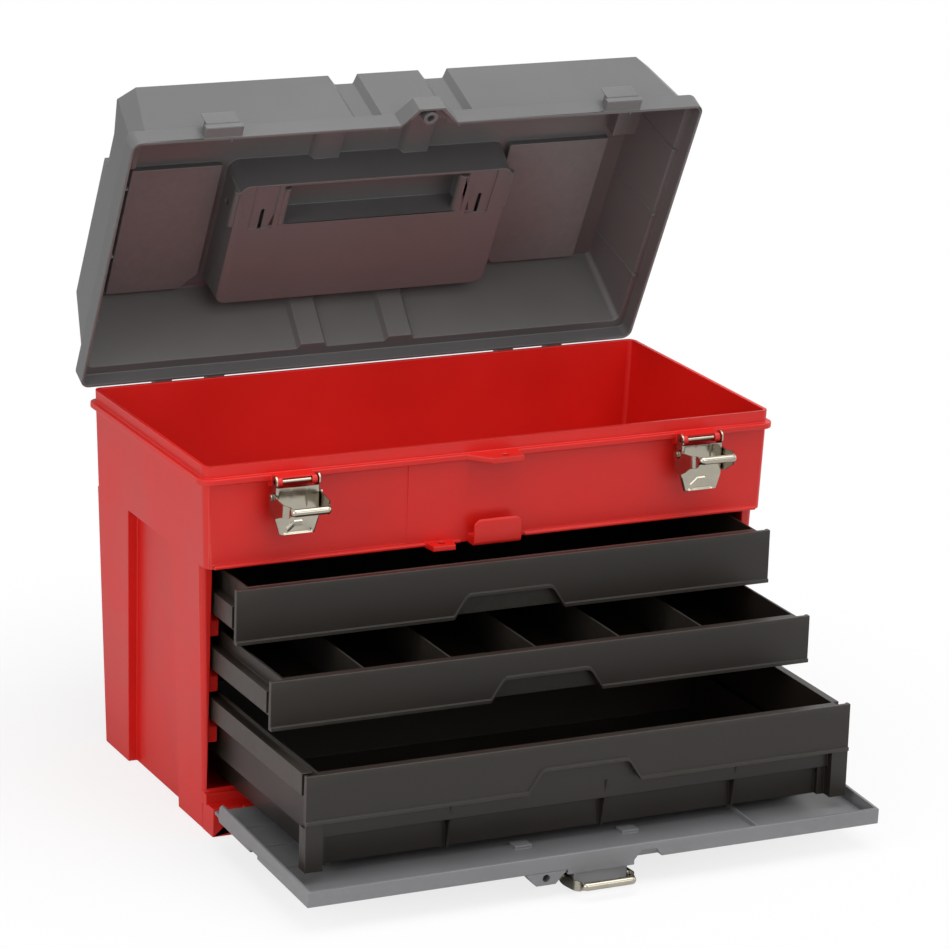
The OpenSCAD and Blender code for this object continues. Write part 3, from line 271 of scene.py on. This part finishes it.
# ---- Drawers ----
# Three drawers of black high-impact polystyrene, each moulded with its front, its runner
# flanges and a finger notch. Five thin plates stand across the middle one. Their edges are
# sharper than the body's, since the walls are only 2 mm thick.
black_plastic = moulded_plastic("black moulded polystyrene", "#1b150f", "#56524c")
soft_edged("top_drawer", "top_drawer_moulding", "top_drawer", black_plastic,
           0.0004)
soft_edged("middle_drawer", "middle_drawer_moulding", "middle_drawer",
           black_plastic, 0.0004)
soft_edged("drawer_dividers", "divider_plates", "middle_drawer",
           black_plastic, 0.0003)
soft_edged("top_front", "top_drawer_front", "top_drawer",
           black_plastic, 0.0004)
soft_edged("top_runners", "top_drawer_runners", "top_drawer",
           black_plastic, 0.0003)
soft_edged("bottom_drawer", "bottom_drawer_moulding", "bottom_drawer",
           black_plastic, 0.0004)

# ---- Front panel ----
# Grey polypropylene, the same as the lid's, hinged at the foot. Its grey is painted a little
# paler than the lid's, as painted light for the light from above. Its ear for a padlock and the
# lug of its latch stand on the outside of its free edge.
# Painted light: the lid's grey and its worn grey, both made paler to stand in for the light from
# above
panel_grey_painted_lighter = moulded_plastic("grey moulded polypropylene, panel painted lighter", "#79797b", "#98989a")
soft_edged("front_panel", "front_panel_moulding", "front_panel", panel_grey_painted_lighter,
           0.0006)
soft_edged("panel_padlock_ear", "panel_padlock_ear_moulding", "front_panel",
           panel_grey_painted_lighter, 0.0005)
soft_edged("panel_latch_lug", "panel_latch_lug_moulding", "front_panel",
           panel_grey_painted_lighter, 0.0003)

# ---- Latches ----
# Draw latches of pressed sheet steel, 1.2 mm thick, with bright nickel plate. A lever swings
# on a pin through the lug behind it, and a bail rides on two rivets in the lever's sides.
def plated_steel(name, base, rough):
    """Nickel plate over cold-rolled steel: bright, with the fine lines of the rolling left in
    it and a little dulling where hands rub it"""
    made = bpy.data.materials.new(name)
    tree = new_tree(made)
    place = add_node(tree, "ShaderNodeTexCoord").outputs["Object"]
    stretch = add_node(tree, "ShaderNodeMapping", Vector=place, Scale=(1.0, 12.0, 12.0))
    # Rolling lines are 0.1 mm apart, drawn at 0.5 mm so that they show
    lines = add_node(tree, "ShaderNodeTexNoise", Vector=stretch.outputs[0], Scale=160.0,
                     Detail=2.0)
    hands = add_node(tree, "ShaderNodeTexNoise", Vector=place, Scale=90.0, Detail=3.0)
    dull = add_node(tree, "ShaderNodeMath", {"operation": "ADD"}, i0=lines.outputs[0],
                    i1=hands.outputs[0])
    gloss = add_node(tree, "ShaderNodeMapRange", i0=dull.outputs[0], i1=0.6, i2=1.4,
                     i3=rough - 0.07, i4=rough + 0.09)
    tone = add_node(tree, "ShaderNodeMapRange", i0=hands.outputs[0], i1=0.3, i2=0.7,
                    i3=0.9, i4=1.06)
    colour = add_node(tree, "ShaderNodeHueSaturation", Color=hex_colour(base),
                      Value=tone.outputs[0])
    relief = add_node(tree, "ShaderNodeBump", Strength=0.03, Distance=0.0001,
                      Height=lines.outputs[0])
    skin = add_node(tree, "ShaderNodeBsdfPrincipled", Base_Color=colour.outputs[0],
                    Metallic=1.0, Roughness=gloss.outputs[0], Normal=relief.outputs[0])
    add_node(tree, "ShaderNodeOutputMaterial", Surface=skin.outputs[0])
    return made


steel = plated_steel("bright nickel plated steel", "#aaa496", 0.16)
SHEET = 1.2
BAIL_REACH = 30.5
BAR = 2.4


def along(table, at):
    """Value at a place in a table of (place, value) pairs, eased between them"""
    for (a, u), (b, v) in zip(table, table[1:]):
        if (a - at) * (b - at) <= 0 and a != b:
            share = (at - a) / (b - a)
            return u + (v - u) * share * share * (3 - 2 * share)
    return table[0][1] if abs(at - table[0][0]) < abs(at - table[-1][0]) else table[-1][1]


def pressing(name, grids, place, body, node):
    """Sheet steel part from grids of points in millimetres on the middle of the sheet"""
    work = bmesh.new()
    for grid in grids:
        rows = [[work.verts.new(place @ (Vector(p) / 1000)) for p in row] for row in grid]
        for upper, lower in zip(rows, rows[1:]):
            for i in range(len(upper) - 1):
                work.faces.new((upper[i], upper[i + 1], lower[i + 1], lower[i]))
    bmesh.ops.remove_doubles(work, verts=work.verts, dist=3e-5)
    bmesh.ops.dissolve_degenerate(work, dist=1e-6, edges=work.edges)
    bmesh.ops.recalc_face_normals(work, faces=work.faces)
    mesh = bpy.data.meshes.new(name)
    work.to_mesh(mesh)
    work.free()
    for face in mesh.polygons:
        face.use_smooth = True
    mesh.materials.append(steel)
    made = bpy.data.objects.new(name, mesh)
    scene.collection.objects.link(made)
    thick = made.modifiers.new("sheet", "SOLIDIFY")
    thick.thickness = SHEET / 1000
    thick.offset = 0.0
    thick.use_even_offset = True
    edge = made.modifiers.new("broken edges", "BEVEL")
    edge.width = 0.00025
    edge.segments = 2
    edge.angle_limit = math.radians(50)
    level = made.modifiers.new("flat faces", "WEIGHTED_NORMAL")
    level.keep_sharp = True
    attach(made, body)
    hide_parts(node)
    return made


def lever_grids(width):
    """Lever: a face with a raised middle and a pressed chevron, bent back into two cheeks
    that end in round ears at the pin"""
    face_y, bend, half = -4.0, 2.0, width / 2 - SHEET / 2
    rows = [-40.0 + 36.3 * i / 52 for i in range(53)]

    def relief(x, z):
        middle = max(0.0, min(1.0, (6.9 - abs(x)) / 1.0)) * max(0.0, min(1.0, (z + 26) / 1.5))
        roof = -30.2 - max(0.0, abs(x) - 3.4) * 0.85
        below = roof - z
        ridge = max(0.0, min(1.0, (below + 0.7) / 0.7)) * max(0.0, 1 - max(0.0, below) / 4.5)
        ridge *= max(0.0, min(1.0, (10.5 - abs(x)) / 1.0))
        lip = max(0.0, (-38.2 - z) / 1.8)
        return 0.45 * middle + 0.9 * ridge + 1.0 * lip

    face = []
    for z in rows:
        w = half if z > -28.8 else half - 3.5 * (-28.8 - z) / 11.2
        turn = [math.radians(180 + 15 * i) for i in range(7)]
        corner = [(-w + bend + bend * math.cos(a), face_y + bend + bend * math.sin(a), z)
                  for a in turn]
        flat = [(-w + bend + (2 * w - 2 * bend) * i / 44) for i in range(1, 44)]
        row = corner + [(x, face_y - relief(x, z), z) for x in flat]
        face.append(row + [(-x, y, z) for x, y, z in reversed(corner)])
    ears = [4.9 * math.sin(math.radians(a)) for a in range(-36, 91, 9)]
    heights = [z for z in rows if z > -29.2] + [z for z in ears if z > -3.2]
    cheeks = []
    for side in (-1, 1):
        grid = []
        for z in heights:
            low = face_y + bend if z < -3.6 else -min(4.5, math.sqrt(max(0.0, 24.1 - z * z)))
            high = along([(-29, face_y + bend), (-27, -1.0), (-20, 4.7), (-3, 4.7)], z) \
                if z < -3 else math.sqrt(max(0.0, 24.1 - z * z))
            grid.append([(side * half, low + (high - low) * i / 6, z) for i in range(7)])
        cheeks.append(grid)
    return [face] + cheeks


def bail_grids(width, flank):
    """Bail: one strip bent into a stirrup. Its cheeks are deep at the rivets, draw in
    towards the front, and roll over into the bar that hooks the catch."""
    wide = width / 2 + 0.3 + SHEET / 2
    near = wide - 3.2
    turn = 3.0
    half = [(near * i / 18 * (1 - turn / near), -BAIL_REACH, 1.0) for i in range(19)]
    for i in range(1, 9):
        a = math.radians(-90 + 90 * i / 8)
        half.append((near - turn + turn * math.cos(a), -BAIL_REACH + turn + turn * math.sin(a),
                     1.0 - i / 8))
    for i in range(1, 25):
        y = -BAIL_REACH + turn + (BAIL_REACH - turn + 4) * i / 24
        half.append((along([(-27.2, near), (-20.5, wide)], y), y, 0.0))
    top = [(4, 1.4), (0, 3.9), (-8, 2.7), (-26, 2.7), (-BAIL_REACH, 2.1)]
    foot = [(4, -flank * 0.55), (0.5, -flank + 0.6), (-4, -flank), (-24.5, -min(6.9, flank - 1)),
            (-BAIL_REACH, -2.7)]
    grid = []
    path = [(-x, y, b) for x, y, b in reversed(half[1:])] + half
    for k, (x, y, b) in enumerate(path):
        before, after = path[max(0, k - 1)], path[min(len(path) - 1, k + 1)]
        run = Vector((after[0] - before[0], after[1] - before[1])).normalized()
        out = Vector((run.y, -run.x))
        roll = b * b * (3 - 2 * b)
        high, low = along(top, y), along(foot, y)
        row = []
        for i in range(15):
            t = i / 14
            a = math.radians(115 - 230 * t)
            z = (high + (low - high) * t) * (1 - roll) + (-0.3 + BAR * math.sin(a)) * roll
            push = BAR * math.cos(a) * roll
            row.append((x + out.x * push, y + out.y * push, z))
        grid.append(row)
    return [grid]


def turned(degrees):
    return Matrix.Rotation(math.radians(degrees), 4, "X")


def shifted(x, y, z):
    return Matrix.Translation(Vector((x, y, z)) / 1000)


# Each latch: the place of its pin, its width in mm, how far its bail hangs below level in
# degrees, and the depth of the bail's cheeks in mm. The front panel is turned down by 91.8
# degrees about its hinge, so its bail points forwards.
pins = {
    "left": (shifted(-169.5, -129, 279.3), 35.5, 7, 14.5),
    "right": (shifted(169.5, -129, 279.3), 35.5, -6, 14.5),
    "panel": (shifted(0, -124, 17.5) @ turned(91.8) @ shifted(0, -4, 187), 47.0, -95, 6.0),
}
for side, (pin, width, drop, flank) in pins.items():
    pressing(side + "_lever_pressing", lever_grids(width), pin, side + "_lever",
             side + "_lever")
    pressing(side + "_bail_pressing", bail_grids(width, flank),
             pin @ shifted(0, 1, -11.8) @ turned(drop), side + "_bail",
             side + "_bail")
for node in ("lid_hinge_pins", "handle_pins", "panel_hinge_pins",
             "left_latch_pin", "right_latch_pin", "panel_latch_pin",
             "left_rivets", "right_rivets", "panel_rivets"):
    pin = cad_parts[node]
    pin.data.materials.clear()
    pin.data.materials.append(steel)
